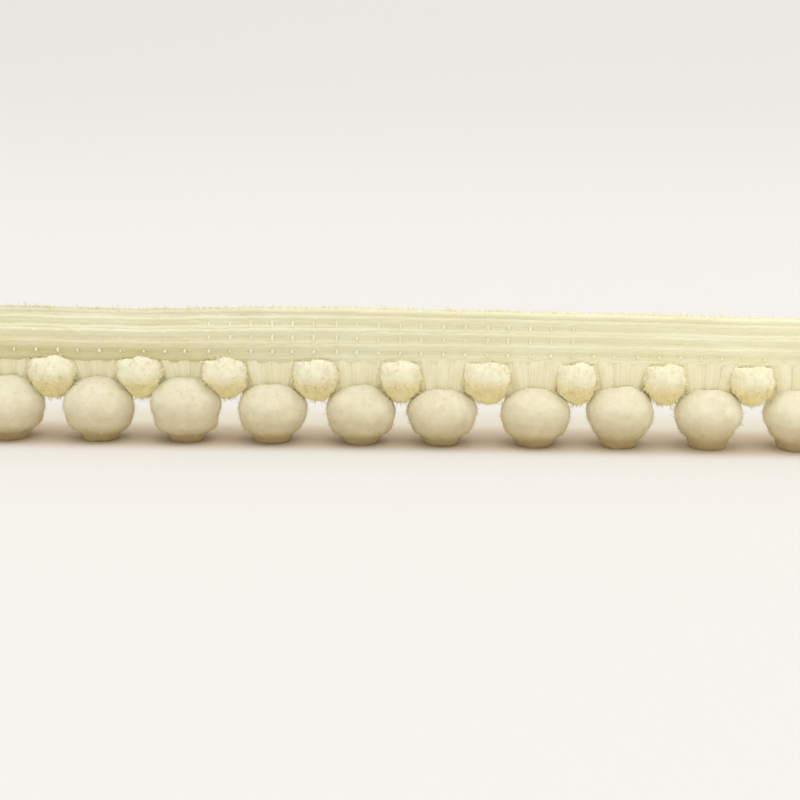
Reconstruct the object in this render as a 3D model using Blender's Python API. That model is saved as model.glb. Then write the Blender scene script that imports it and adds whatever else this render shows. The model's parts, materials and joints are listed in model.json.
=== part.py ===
"""A cut length of cream pompom fringe trim that stands upright on its lower row of pompoms.

Metres, +Z up. +X runs along the trim, the front faces -Y, and the pompoms' feet stand on Z = 0.
The pieces are one knitted heading tape, twelve pompoms on necks of yarn, and eleven small tufts between them.
"""

import math
from typing import NamedTuple

import bmesh
import bpy
from mathutils import Vector, noise

MM = 0.001

# Driving dimensions of the whole trim.
PITCH = 6.3 * MM
POMPOM_COUNT = 12
LENGTH = POMPOM_COUNT * PITCH
HEIGHT = 9.6 * MM
GAP = 0.3 * MM
SOFT_GAP = 0.39 * MM  # Faces cut across between their corners, so the corners keep a little more.

# The heading tape: five wales of chain stitches, four stitches to each pompom.
WALES = 5
WALE_PITCH = 0.82 * MM
TOP_WALE_BELOW_EDGE = 0.22 * MM
TAPE_FOOT = 5.93 * MM
TAPE_THICKNESS = 1.1 * MM
GROOVE_DEPTH = 0.2 * MM
STITCHES_PER_POMPOM = 4
STITCHES = POMPOM_COUNT * STITCHES_PER_POMPOM
STITCH_PINCH = 0.09 * MM
STATIONS_PER_STITCH = 2

# The pompoms and their necks.
POMPOM_DEPTH = 4.8 * MM
SURFACE_SUBDIVISIONS = 3
POMPOM_LUMP = 0.045
TUFT_LUMP = 0.05
LUMPS_ACROSS = 1.5
FOOT_SINK = 0.1 * MM
FOOT_SNAP = 0.06 * MM
FOOT_PINCH = 0.24
FOOT_PINCH_HEIGHT = 0.95 * MM
FOOT_PINCH_REACH = 1.0 * MM
NOTCH_HALF_WIDTH = 0.75 * MM
NECK_STRANDS = 3
NECK_HALF_WIDTH = 1.25 * MM
NECK_WAIST = 0.55
NECK_STRAND_WIDTH = 0.6 * MM
NECK_STRAND_DEPTH = 0.8 * MM
ROOT_BAR_HEIGHT = 0.3 * MM
ROOT_BAR_TOP = TAPE_FOOT - GAP

# The tufts.
TUFT_HEIGHT = 3.15 * MM
TUFT_DEPTH = 4.0 * MM
TUFT_TOP = 6.1 * MM
TUFT_LOCKS = 9
TUFT_LOCK_RELIEF = 0.05
TUFT_CAP_FOOT = 4.8 * MM  # Above it a tuft keeps its full depth.
TUFT_SKIRT_TOP = 4.1 * MM  # Below it the balls in front hide what is left of the tuft.
TUFT_SKIRT_DEPTH = 0.55

YARN_CREAM = (0.84, 0.776, 0.552, 1.0)
TUFT_CREAM = (0.80, 0.73, 0.48, 1.0)
TAPE_CREAM = (0.83, 0.77, 0.53, 1.0)


class Pompom(NamedTuple):
    """One ball: how far it stands from its even place, its width and height, and how deep its neck enters."""

    shift: float
    width: float
    height: float
    notch: float


class Tuft(NamedTuple):
    """One tuft: how far it stands from its even place, and its width."""

    shift: float
    width: float


class Section(NamedTuple):
    """The tape's hang at a place along the trim: its place as a share, its top edge, its bulge and its lean."""

    place: float
    top: float
    bulge: float
    lean: float


# From left to right, in millimetres.
POMPOMS = (
    Pompom(shift=0.15, width=4.95, height=4.40, notch=0.20),
    Pompom(shift=0.28, width=5.05, height=4.48, notch=0.15),
    Pompom(shift=0.55, width=5.00, height=4.41, notch=0.20),
    Pompom(shift=0.46, width=4.93, height=4.52, notch=0.15),
    Pompom(shift=0.38, width=4.86, height=4.12, notch=0.25),
    Pompom(shift=0.36, width=4.80, height=4.10, notch=0.15),
    Pompom(shift=-0.08, width=4.93, height=3.90, notch=0.15),
    Pompom(shift=0.19, width=4.93, height=4.02, notch=0.20),
    Pompom(shift=0.04, width=4.86, height=4.26, notch=0.30),
    Pompom(shift=-0.05, width=4.93, height=4.20, notch=0.45),
    Pompom(shift=0.08, width=4.90, height=4.22, notch=0.25),
    Pompom(shift=-0.10, width=4.95, height=4.35, notch=0.20),
)
TUFTS = (
    Tuft(shift=0.30, width=3.05),
    Tuft(shift=0.50, width=3.10),
    Tuft(shift=0.36, width=3.05),
    Tuft(shift=0.05, width=3.15),
    Tuft(shift=0.24, width=2.90),
    Tuft(shift=-0.06, width=2.80),
    Tuft(shift=-0.16, width=3.05),
    Tuft(shift=-0.12, width=2.65),
    Tuft(shift=-0.14, width=2.75),
    Tuft(shift=-0.20, width=2.80),
    Tuft(shift=-0.10, width=2.85),
)
SECTIONS = (
    Section(place=0.0, top=9.74, bulge=0.55, lean=0.30),
    Section(place=0.2, top=9.72, bulge=0.60, lean=0.35),
    Section(place=0.35, top=9.64, bulge=0.45, lean=0.25),
    Section(place=0.5, top=9.56, bulge=0.15, lean=0.05),
    Section(place=0.7, top=9.46, bulge=0.05, lean=0.10),
    Section(place=0.85, top=9.38, bulge=0.12, lean=-0.05),
    Section(place=1.0, top=9.34, bulge=0.05, lean=0.00),
)


def clear_scene():
    """Removes every object that the scene starts with."""
    for found in list(bpy.data.objects):
        bpy.data.objects.remove(found, do_unlink=True)


def yarn_material(name, colour, roughness):
    """A matte yarn finish."""
    material = bpy.data.materials.new(name)
    material.use_nodes = True
    shader = material.node_tree.nodes["Principled BSDF"]
    shader.inputs["Base Color"].default_value = colour
    shader.inputs["Roughness"].default_value = roughness
    shader.inputs["Metallic"].default_value = 0.0
    material.diffuse_color = colour
    return material


def add_object(name, shape, material):
    """Puts a bmesh into the scene as one smooth-shaded object."""
    mesh = bpy.data.meshes.new(name)
    shape.to_mesh(mesh)
    shape.free()
    mesh.materials.append(material)
    mesh.shade_smooth()
    made = bpy.data.objects.new(name, mesh)
    bpy.context.scene.collection.objects.link(made)
    return made


def loft(rings):
    """A closed tube through rings of points that all have the same count, capped at both ends."""
    shape = bmesh.new()
    rows = [[shape.verts.new(point) for point in ring] for ring in rings]
    count = len(rows[0])
    for low, high in zip(rows, rows[1:]):
        for side in range(count):
            beside = (side + 1) % count
            shape.faces.new((low[side], low[beside], high[beside], high[side]))
    shape.faces.new(rows[0][::-1])
    shape.faces.new(rows[-1])
    bmesh.ops.recalc_face_normals(shape, faces=shape.faces)
    return shape


def even_place(index, count):
    """Where the piece of this index stands when the pieces are a pitch apart about X = 0."""
    return (index - (count - 1) / 2) * PITCH


def smooth_between(low, high, share):
    """Eases from one value to the next with no kink at either end."""
    eased = share * share * (3 - 2 * share)
    return low + (high - low) * eased


def hang_at(x):
    """The tape's top edge, bulge and lean at a place along the trim, in metres."""
    place = min(max(x / LENGTH + 0.5, 0.0), 1.0)
    for start, end in zip(SECTIONS, SECTIONS[1:]):
        if place <= end.place:
            break
    share = (place - start.place) / (end.place - start.place)
    return [
        smooth_between(low, high, share) * MM
        for low, high in zip(start[1:], end[1:])
    ]


def tape_ring(x, pinch):
    """One closed section of the tape: ribs over its wales and grooves between them, on both faces."""
    top, bulge, lean = hang_at(x)
    stretch = (top - TAPE_FOOT) / (HEIGHT - TAPE_FOOT)
    half = TAPE_THICKNESS / 2 - pinch
    levels = [(0.0, half - GROOVE_DEPTH)]
    for wale in range(WALES):
        below_top = TOP_WALE_BELOW_EDGE + (WALES - 1 - wale) * WALE_PITCH
        rib = HEIGHT - below_top - TAPE_FOOT
        levels.append((rib, half))
        if wale < WALES - 1:
            levels.append((rib + WALE_PITCH / 2, half - GROOVE_DEPTH))
    levels.append((HEIGHT - TAPE_FOOT, half - GROOVE_DEPTH))
    front = []
    back = []
    for rise, reach in levels:
        share = rise / (HEIGHT - TAPE_FOOT)
        middle = lean * share - bulge * math.sin(math.pi * share)
        height = TAPE_FOOT + rise * stretch
        front.append(Vector((x, middle - reach, height)))
        back.append(Vector((x, middle + reach, height)))
    return front + back[::-1]


def add_tape(material):
    """The heading tape, with each chain stitch swelling between two ties."""
    count = STITCHES * STATIONS_PER_STITCH
    rings = []
    for station in range(count + 1):
        x = -LENGTH / 2 + LENGTH * station / count
        tied = station % STATIONS_PER_STITCH == 0
        rings.append(tape_ring(x, STITCH_PINCH if tied else 0.0))
    return add_object("tape", loft(rings), material)


def lumpy_ball(centre, half, lump, seed):
    """A round body of the given half sizes, swollen and hollowed a little all over, as felted yarn is."""
    shape = bmesh.new()
    bmesh.ops.create_icosphere(shape, subdivisions=SURFACE_SUBDIVISIONS, radius=1.0)
    for vertex in shape.verts:
        direction = vertex.co.normalized()
        place = direction * LUMPS_ACROSS + Vector((seed, 2 * seed, 3 * seed))
        swell = 1 + lump * noise.noise(place)
        vertex.co = centre + Vector(
            axis * size * swell for axis, size in zip(direction, half)
        )
    return shape


def dent_crown(shape, centre, depth):
    """Sinks the top of a ball where its neck goes in."""
    for vertex in shape.verts:
        if vertex.co.z > centre.z:
            across = (vertex.co.x - centre.x) / NOTCH_HALF_WIDTH
            vertex.co.z -= depth * math.exp(-across * across)


def pinch_foot(shape, centre):
    """Draws a ball in near the floor, where its own weight packs the pile into a narrow foot."""
    for vertex in shape.verts:
        away = abs(vertex.co.z - FOOT_PINCH_HEIGHT) / FOOT_PINCH_REACH
        if away < 1:
            keep = smooth_between(1 - FOOT_PINCH, 1.0, away)
            vertex.co.x = centre.x + (vertex.co.x - centre.x) * keep
            vertex.co.y = centre.y + (vertex.co.y - centre.y) * keep


def stand_on_floor(shape):
    """Brings the lowest points of a ball onto Z = 0, as the small flat spot it rests on."""
    for vertex in shape.verts:
        if vertex.co.z < FOOT_SNAP:
            vertex.co.z = 0.0


def helper(name, shape, material):
    """A shape that a Boolean joins to its piece, left out of the render."""
    made = add_object(name, shape, material)
    made.hide_render = True
    made.display_type = "WIRE"
    return made


def box_ring(centre, half_width, half_depth):
    """Four corners round a point, in a level plane."""
    corners = ((-1, -1), (1, -1), (1, 1), (-1, 1))
    return [
        centre + Vector((side * half_width, face * half_depth, 0.0))
        for side, face in corners
    ]


def neck_shapes(ball):
    """The strands of one neck, which fan out from a ball's crown, and the root bar that joins their upper ends."""
    start = ball["centre"].z
    end = ROOT_BAR_TOP - ROOT_BAR_HEIGHT / 2
    shapes = []
    for strand in range(NECK_STRANDS):
        side = 2 * strand / (NECK_STRANDS - 1) - 1
        fan = side * (NECK_HALF_WIDTH - NECK_STRAND_WIDTH / 2)
        rings = []
        for height, spread in (
            (start, NECK_WAIST),
            (ball["top"] - ball["notch"], NECK_WAIST),
            (end, 1.0),
        ):
            place = Vector((ball["centre"].x + fan * spread, 0.0, height))
            rings.append(
                box_ring(place, NECK_STRAND_WIDTH / 2, NECK_STRAND_DEPTH / 2)
            )
        shapes.append(loft(rings))
    bar_rings = [
        box_ring(
            Vector((ball["centre"].x, 0.0, height)),
            NECK_HALF_WIDTH,
            NECK_STRAND_DEPTH / 2,
        )
        for height in (ROOT_BAR_TOP - ROOT_BAR_HEIGHT, ROOT_BAR_TOP)
    ]
    shapes.append(loft(bar_rings))
    return shapes


def ball_facts(index):
    """The centre, half sizes, crown and notch of one pompom's ball, in metres."""
    row = POMPOMS[index]
    half = Vector((row.width * MM / 2, POMPOM_DEPTH / 2, (row.height * MM + FOOT_SINK) / 2))
    x = even_place(index, POMPOM_COUNT) + row.shift * MM
    centre = Vector((x, 0.0, half.z - FOOT_SINK))
    return {
        "centre": centre,
        "half": half,
        "top": centre.z + half.z,
        "notch": row.notch * MM,
    }


def add_pompom(index, material):
    """One pompom: its ball with a small flat foot, and its neck, joined."""
    ball = ball_facts(index)
    name = f"pompom_{index + 1:02d}"
    shape = lumpy_ball(ball["centre"], ball["half"], POMPOM_LUMP, index + 1)
    dent_crown(shape, ball["centre"], ball["notch"])
    pinch_foot(shape, ball["centre"])
    stand_on_floor(shape)
    made = add_object(name, shape, material)
    for number, neck in enumerate(neck_shapes(ball)):
        joined = helper(f"{name}_neck_{number + 1}", neck, material)
        union = made.modifiers.new(f"neck_{number + 1}", "BOOLEAN")
        union.operation = "UNION"
        union.object = joined
    return made


def push_out_of_ball(point, ball):
    """Moves a point to the surface of a ball swollen by the gap, if it is inside it."""
    reach = ball["half"] + Vector((SOFT_GAP, SOFT_GAP, SOFT_GAP))
    offset = point - ball["centre"]
    share = Vector(part / size for part, size in zip(offset, reach)).length
    if share < 1:
        return ball["centre"] + offset / share
    return point


def push_beside_neck(point, ball):
    """Moves a point sideways, off the neck of a ball, if it is against it."""
    if abs(point.y) > NECK_STRAND_DEPTH / 2 + SOFT_GAP:
        return point
    limit = NECK_HALF_WIDTH + SOFT_GAP
    across = point.x - ball["centre"].x
    if abs(across) < limit:
        return Vector((ball["centre"].x + math.copysign(limit, across), point.y, point.z))
    return point


def push_below_tape(point):
    """Lowers a point that would touch the tape's lower edge."""
    low = TAPE_FOOT - SOFT_GAP
    if point.z > low and abs(point.y) < TAPE_THICKNESS / 2 + SOFT_GAP:
        return Vector((point.x, point.y, low))
    return point


def tuft_depth_share(height):
    """How much of its depth a tuft keeps at a height: all of it in its cap, less in the skirt below."""
    share = (height - TUFT_SKIRT_TOP) / (TUFT_CAP_FOOT - TUFT_SKIRT_TOP)
    return smooth_between(TUFT_SKIRT_DEPTH, 1.0, min(max(share, 0.0), 1.0))


def add_tuft(index, material):
    """One tuft: a half pompom of upright locks, hollowed where it meets its neighbours."""
    row = TUFTS[index]
    x = even_place(index, len(TUFTS)) + row.shift * MM
    centre = Vector((x, 0.0, TUFT_TOP - TUFT_HEIGHT / 2))
    half = Vector((row.width * MM / 2, TUFT_DEPTH / 2, TUFT_HEIGHT / 2))
    shape = lumpy_ball(centre, half, TUFT_LUMP, index + 40)
    beside = (ball_facts(index), ball_facts(index + 1))
    for vertex in shape.verts:
        offset = vertex.co - centre
        around = math.atan2(offset.y, offset.x)
        relief = 1 + TUFT_LOCK_RELIEF * math.cos(TUFT_LOCKS * around)
        relief_y = relief * tuft_depth_share(vertex.co.z)
        point = centre + Vector((offset.x * relief, offset.y * relief_y, offset.z))
        for ball in beside:
            point = push_out_of_ball(point, ball)
            point = push_beside_neck(point, ball)
        vertex.co = push_below_tape(point)
    return add_object(f"tuft_{index + 1:02d}", shape, material)


def main():
    """Builds every piece of the trim."""
    clear_scene()
    tape_finish = yarn_material("tape_yarn", TAPE_CREAM, 0.75)
    pompom_finish = yarn_material("pompom_yarn", YARN_CREAM, 0.95)
    tuft_finish = yarn_material("tuft_yarn", TUFT_CREAM, 0.9)
    add_tape(tape_finish)
    for index in range(POMPOM_COUNT):
        add_pompom(index, pompom_finish)
    for index in range(len(TUFTS)):
        add_tuft(index, tuft_finish)


main()
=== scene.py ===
"""The looks of a cut length of cream pompom fringe trim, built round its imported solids.

The trim stands upright on its lower row of felted pompoms. Each sub-assembly is a class: the knitted heading
tape, the pompoms with their necks of fine yarn, the tufts between them, and the studio that they stand in.
Metres, +Z up, +X along the trim, and the front faces -Y.
"""

import json
import logging
import math
import random
from dataclasses import dataclass, field
from enum import Enum
from typing import Callable, NamedTuple, Sequence

import bpy
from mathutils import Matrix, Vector

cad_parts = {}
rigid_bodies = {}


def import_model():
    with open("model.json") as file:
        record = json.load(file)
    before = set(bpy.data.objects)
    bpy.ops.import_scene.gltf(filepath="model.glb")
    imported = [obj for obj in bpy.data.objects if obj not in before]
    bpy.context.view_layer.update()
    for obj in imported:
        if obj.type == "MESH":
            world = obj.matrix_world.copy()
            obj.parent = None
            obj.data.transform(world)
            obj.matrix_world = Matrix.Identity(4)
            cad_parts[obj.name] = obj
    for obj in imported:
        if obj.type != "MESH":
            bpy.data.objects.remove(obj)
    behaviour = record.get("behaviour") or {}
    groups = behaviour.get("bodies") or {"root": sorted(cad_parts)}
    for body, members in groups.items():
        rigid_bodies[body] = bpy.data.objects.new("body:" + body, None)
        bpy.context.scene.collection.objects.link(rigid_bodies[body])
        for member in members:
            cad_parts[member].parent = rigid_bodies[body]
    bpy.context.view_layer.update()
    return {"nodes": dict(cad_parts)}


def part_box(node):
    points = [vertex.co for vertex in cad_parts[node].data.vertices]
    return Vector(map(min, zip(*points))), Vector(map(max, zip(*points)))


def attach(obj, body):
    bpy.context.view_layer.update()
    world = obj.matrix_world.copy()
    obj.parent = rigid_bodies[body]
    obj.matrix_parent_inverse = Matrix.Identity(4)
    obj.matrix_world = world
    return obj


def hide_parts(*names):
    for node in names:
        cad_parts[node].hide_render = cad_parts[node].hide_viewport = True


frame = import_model()

log = logging.getLogger("pompom_trim")

Piece = bpy.types.Object
Material = bpy.types.Material
Node = bpy.types.Node
Socket = bpy.types.NodeSocket
Span = tuple[float, float]
Triple = tuple[float, float, float]
Row = tuple[float, ...]
Colour = tuple[float, float, float, float]

MM = 0.001
BODY = "root"
SMOOTH_ANGLE = math.radians(62.0)
BALL_FINENESS = 5

PITCH = 6.3 * MM
POMPOM_COUNT = 12
TAPE_STITCHES = 50
STITCH = POMPOM_COUNT * PITCH / TAPE_STITCHES
TAPE_FOOT = 5.93 * MM
TAPE_TOP = 9.6 * MM
TAPE_RISE = TAPE_TOP - TAPE_FOOT


class Slot(Enum):
    """The record's material slots."""

    TAPE = "tape_yarn"
    POMPOM = "pompom_yarn"
    TUFT = "tuft_yarn"


class Face(Enum):
    """The two faces of the tape, as the way that each looks along Y."""

    FRONT = -1
    BACK = 1


class PompomRow(NamedTuple):
    """One pompom's own unevenness, in millimetres.

    It gives its place, its width and height, its neck's dent, how far its body stands over the table on its
    foot, and the half width of its full lower part.
    """

    shift: float
    width: float
    height: float
    notch: float
    rise: float
    belly: float


class Hang(NamedTuple):
    """The tape's hang at a share of its length, in millimetres.

    It gives the lower edge, the top edge, the bulge to the front and the lean to the back.
    """

    place: float
    foot: float
    top: float
    bulge: float
    lean: float


class Climb(NamedTuple):
    """How far the wales stand above their even places, in millimetres, at a share of the tape's length."""

    place: float
    rise: float


class TieForm(NamedTuple):
    """One kind of tie: its half height and points' stand-off in millimetres, and its share of thickness."""

    half: float
    outs: Row
    thickness: float


class Lumps(NamedTuple):
    """A soft noise on a surface: its lumps' spacing, its finer layers, and its height from end to end."""

    name: str
    size: float
    depth: int
    height: float


# The tables run from left to right, in millimetres, with columns in the order of their classes' fields.
POMPOM_ROWS = (
    PompomRow(0.15, 5.10, 4.40, 0.20, 0.36, 2.35),
    PompomRow(0.36, 5.25, 4.48, 0.15, 0.42, 2.40),
    PompomRow(0.55, 5.20, 4.41, 0.20, 0.40, 2.32),
    PompomRow(0.45, 5.23, 4.52, 0.15, 0.62, 2.32),
    PompomRow(0.33, 5.10, 4.12, 0.25, 0.26, 2.22),
    PompomRow(0.36, 5.10, 4.10, 0.15, 0.30, 2.28),
    PompomRow(-0.13, 5.18, 3.90, 0.15, 0.38, 2.25),
    PompomRow(0.24, 5.13, 4.02, 0.20, 0.40, 2.28),
    PompomRow(0.02, 5.00, 4.26, 0.30, 0.38, 2.00),
    PompomRow(0.02, 5.03, 4.20, 0.45, 0.55, 2.00),
    PompomRow(0.08, 4.92, 4.22, 0.25, 0.50, 2.05),
    PompomRow(-0.10, 5.00, 4.35, 0.20, 0.38, 2.20),
)
TUFT_DROPS = (0.05, 0.12, 0.06, 0.0, 0.02, 0.12, 0.08, 0.05, 0.0, 0.0, 0.05)
HANGS = (
    Hang(0.00, 5.62, 9.60, 0.55, 0.30),
    Hang(0.14, 5.62, 9.52, 0.58, 0.34),
    Hang(0.22, 5.62, 9.43, 0.60, 0.35),
    Hang(0.26, 5.62, 9.41, 0.58, 0.34),
    Hang(0.33, 5.62, 9.60, 0.48, 0.27),
    Hang(0.37, 5.62, 9.70, 0.42, 0.22),
    Hang(0.44, 5.72, 9.77, 0.28, 0.12),
    Hang(0.55, 5.86, 9.68, 0.12, 0.06),
    Hang(0.70, 5.88, 9.55, 0.05, 0.10),
    Hang(0.85, 5.88, 9.40, 0.12, 0.12),
    Hang(1.00, 5.88, 9.34, 0.05, 0.18),
)
CLIMBS = (
    Climb(0.0, 0.38),
    Climb(0.35, 0.40),
    Climb(0.42, 0.30),
    Climb(0.50, 0.05),
    Climb(0.55, 0.0),
    Climb(1.0, 0.0),
)
LOW_TIE = TieForm(half=0.14, outs=(0.26, 0.43, 0.50, 0.43, 0.26), thickness=1.3)
HIGH_TIE = TieForm(half=0.30, outs=(0.29, 0.43, 0.45, 0.43, 0.29), thickness=1.0)
FELT_LUMPS = (
    Lumps(name="felt_lumps", size=1.6 * MM, depth=1, height=0.24 * MM),
    Lumps(name="felt_knots", size=0.45 * MM, depth=2, height=0.08 * MM),
)
PILE_LUMPS = (
    Lumps(name="pile_lumps", size=1.0 * MM, depth=1, height=0.22 * MM),
    Lumps(name="pile_knots", size=0.28 * MM, depth=2, height=0.16 * MM),
)


# Tools that every sub-assembly uses.


def pick_only(piece: Piece) -> None:
    """Selects one object alone and makes it active.

    Args:
        piece: The object to work on.
    """
    bpy.ops.object.select_all(action="DESELECT")
    piece.select_set(True)
    bpy.context.view_layer.objects.active = piece


def named_active(name: str) -> Piece:
    """Names the object that an operator has just added.

    Args:
        name: The piece's name.

    Returns:
        The object, with its data under the same name.
    """
    piece = bpy.context.active_object
    piece.name = name
    piece.data.name = name
    return piece


def settle(piece: Piece) -> None:
    """Puts a piece's place, turn and scale into its mesh, so that its object sits at the origin."""
    pick_only(piece)
    bpy.ops.object.transform_apply(location=True, rotation=True, scale=True)


def apply_modifier(piece: Piece, kind: str, **settings: object) -> None:
    """Adds one modifier to a piece, sets it and applies it.

    Args:
        piece: The piece to shape.
        kind: The modifier's type.
        **settings: The modifier's own settings by name.
    """
    pick_only(piece)
    modifier = piece.modifiers.new(kind.lower(), kind)
    for key, value in settings.items():
        setattr(modifier, key, value)
    bpy.ops.object.modifier_apply(modifier=modifier.name)


def leave_edit() -> None:
    """Goes back to object mode."""
    bpy.ops.object.mode_set(mode="OBJECT")


def select_points(piece: Piece, test: Callable[[Vector], bool]) -> None:
    """Enters edit mode with the points that pass a test selected, and no others.

    Args:
        piece: The mesh piece.
        test: Takes a point's place and says whether it is selected.
    """
    pick_only(piece)
    bpy.context.tool_settings.mesh_select_mode = (True, False, False)
    bpy.ops.object.mode_set(mode="EDIT")
    bpy.ops.mesh.select_all(action="DESELECT")
    leave_edit()
    for vertex in piece.data.vertices:
        vertex.select = test(vertex.co)
    bpy.ops.object.mode_set(mode="EDIT")


def reshape(
    piece: Piece,
    test: Callable[[Vector], bool],
    size: Sequence[float] | None = None,
    about: Sequence[float] | None = None,
    lift: float = 0.0,
    reach: float = 0.0,
) -> None:
    """Resizes and lifts the points that pass a test, and lets the points near them follow.

    Args:
        piece: The mesh piece.
        test: Takes a point's place and says whether it moves in full.
        size: The factors along X, Y and Z, or None.
        about: The place that the resize leaves alone.
        lift: How far the points move up after the resize.
        reach: How far off other points follow softly, or 0 where none do.
    """
    follow = {}
    if reach:
        follow = {
            "use_proportional_edit": True,
            "proportional_edit_falloff": "SMOOTH",
            "proportional_size": reach,
        }
    select_points(piece, test)
    if size is not None:
        bpy.ops.transform.resize(value=size, center_override=about, **follow)
    if lift:
        bpy.ops.transform.translate(value=(0, 0, lift), **follow)
    leave_edit()


def round_form(name: str, centre: Vector, half: Sequence[float]) -> Piece:
    """Adds a ball, drawn out to its own half sizes.

    Args:
        name: The form's name.
        centre: Its middle.
        half: Its half sizes along X, Y and Z.

    Returns:
        The form.
    """
    bpy.ops.mesh.primitive_ico_sphere_add(subdivisions=BALL_FINENESS, radius=1.0, location=centre, scale=half)
    form = named_active(name)
    settle(form)
    return form


def roughen(piece: Piece, layers: Sequence[Lumps]) -> None:
    """Raises and sinks a piece's surface by soft noises.

    Args:
        piece: The piece to shape.
        layers: The noises, one after the other.
    """
    for lumps in layers:
        noise = bpy.data.textures.new(lumps.name, "CLOUDS")
        noise.noise_scale = lumps.size
        noise.noise_depth = lumps.depth
        apply_modifier(
            piece, "DISPLACE", texture=noise, strength=lumps.height, mid_level=0.5, texture_coords="LOCAL"
        )


def eased(share: float) -> float:
    """Turns an even share into one that starts and ends gently."""
    return share * share * (3 - 2 * share)


class Strand(NamedTuple):
    """One run of yarn: the points on its middle line and its radius at each."""

    points: Sequence[Vector]
    radii: Sequence[float]


def yarn_bundle(name: str, strands: Sequence[Strand]) -> Piece:
    """Makes several strands of yarn as one piece of closed tubes.

    Args:
        name: The piece's name.
        strands: The strands.

    Returns:
        The strands, as a mesh.
    """
    bpy.ops.curve.primitive_nurbs_path_add()
    bundle = bpy.context.active_object
    curve = bundle.data
    curve.splines.clear()
    curve.dimensions = "3D"
    curve.bevel_depth = MM
    curve.bevel_resolution = 1
    curve.use_fill_caps = True
    for strand in strands:
        spline = curve.splines.new("POLY")
        spline.points.add(len(strand.points) - 1)
        for place, point, radius in zip(spline.points, strand.points, strand.radii):
            place.co = (*point, 1.0)
            place.radius = radius / MM
    pick_only(bundle)
    bpy.ops.object.convert(target="MESH")
    return named_active(name)


class Graph:
    """A tree of nodes, and short ways to fill it."""

    def __init__(self, tree: bpy.types.NodeTree) -> None:
        """Takes the tree to fill."""
        self.tree = tree

    def feed(self, node: Node, *inputs: object, **named: object) -> None:
        """Sets or links a node's inputs.

        Args:
            node: The node.
            *inputs: Its first inputs in order, each a value or another node's output.
            **named: Other inputs by name, with _ for each space.
        """
        pairs = list(zip(node.inputs, inputs))
        pairs += [(node.inputs[name.replace("_", " ")], given) for name, given in named.items()]
        for socket, given in pairs:
            if isinstance(given, Socket):
                self.tree.links.new(given, socket)
            else:
                socket.default_value = given

    def add(self, kind: str, *inputs: object, **named: object) -> Node:
        """Adds a node.

        Args:
            kind: Its type.
            *inputs: Its first inputs in order, each a value or another node's output.
            **named: Other inputs by name, with _ for each space, and the node's own settings in lower case.

        Returns:
            The node.
        """
        node = self.tree.nodes.new(kind)
        for setting in [name for name in named if name.islower()]:
            setattr(node, setting, named.pop(setting))
        self.feed(node, *inputs, **named)
        return node


# Finishes.


class Wiring(Graph):
    """A new material and the nodes that feed its shader."""

    def __init__(self, name: str, **constants: object) -> None:
        """Starts a material.

        Args:
            name: The material's name.
            **constants: Values for its shader's own inputs, with _ for each space in a name.
        """
        self.material = bpy.data.materials.new(name)
        self.material.use_nodes = True
        super().__init__(self.material.node_tree)
        self.shader = self.tree.nodes["Principled BSDF"]
        self.feed(self.shader, **constants)

    def place(self) -> Socket:
        """Adds the node that gives a point's place on its object."""
        return self.add("ShaderNodeTexCoord").outputs["Object"]

    def island(self) -> Socket:
        """Adds the node that gives each separate fibre or yarn its own share."""
        return self.add("ShaderNodeNewGeometry").outputs["Random Per Island"]

    def remap(self, share: Socket, *ends: float, **settings: str) -> Socket:
        """Moves a value from the range of the first two ends to that of the next two, or to 0 to 1."""
        return self.add("ShaderNodeMapRange", share, *ends, **settings).outputs["Result"]

    def ramp(self, share: Socket, stops: dict[float, Colour]) -> Socket:
        """Adds a colour ramp.

        Args:
            share: The value that drives it.
            stops: The colours by their places from 0 to 1.

        Returns:
            The colour.
        """
        ramp = self.add("ShaderNodeValToRGB", share)
        line = ramp.color_ramp.elements
        while len(line) < len(stops):
            line.new(0.5)
        for element, (place, colour) in zip(line, sorted(stops.items())):
            element.position = place
            element.color = colour
        return ramp.outputs["Color"]


class Shade(NamedTuple):
    """The tint of painted shade that a yarn takes at a height over the table, darker where less light reaches
    it.
    """

    height: float
    tint: Colour


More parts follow.
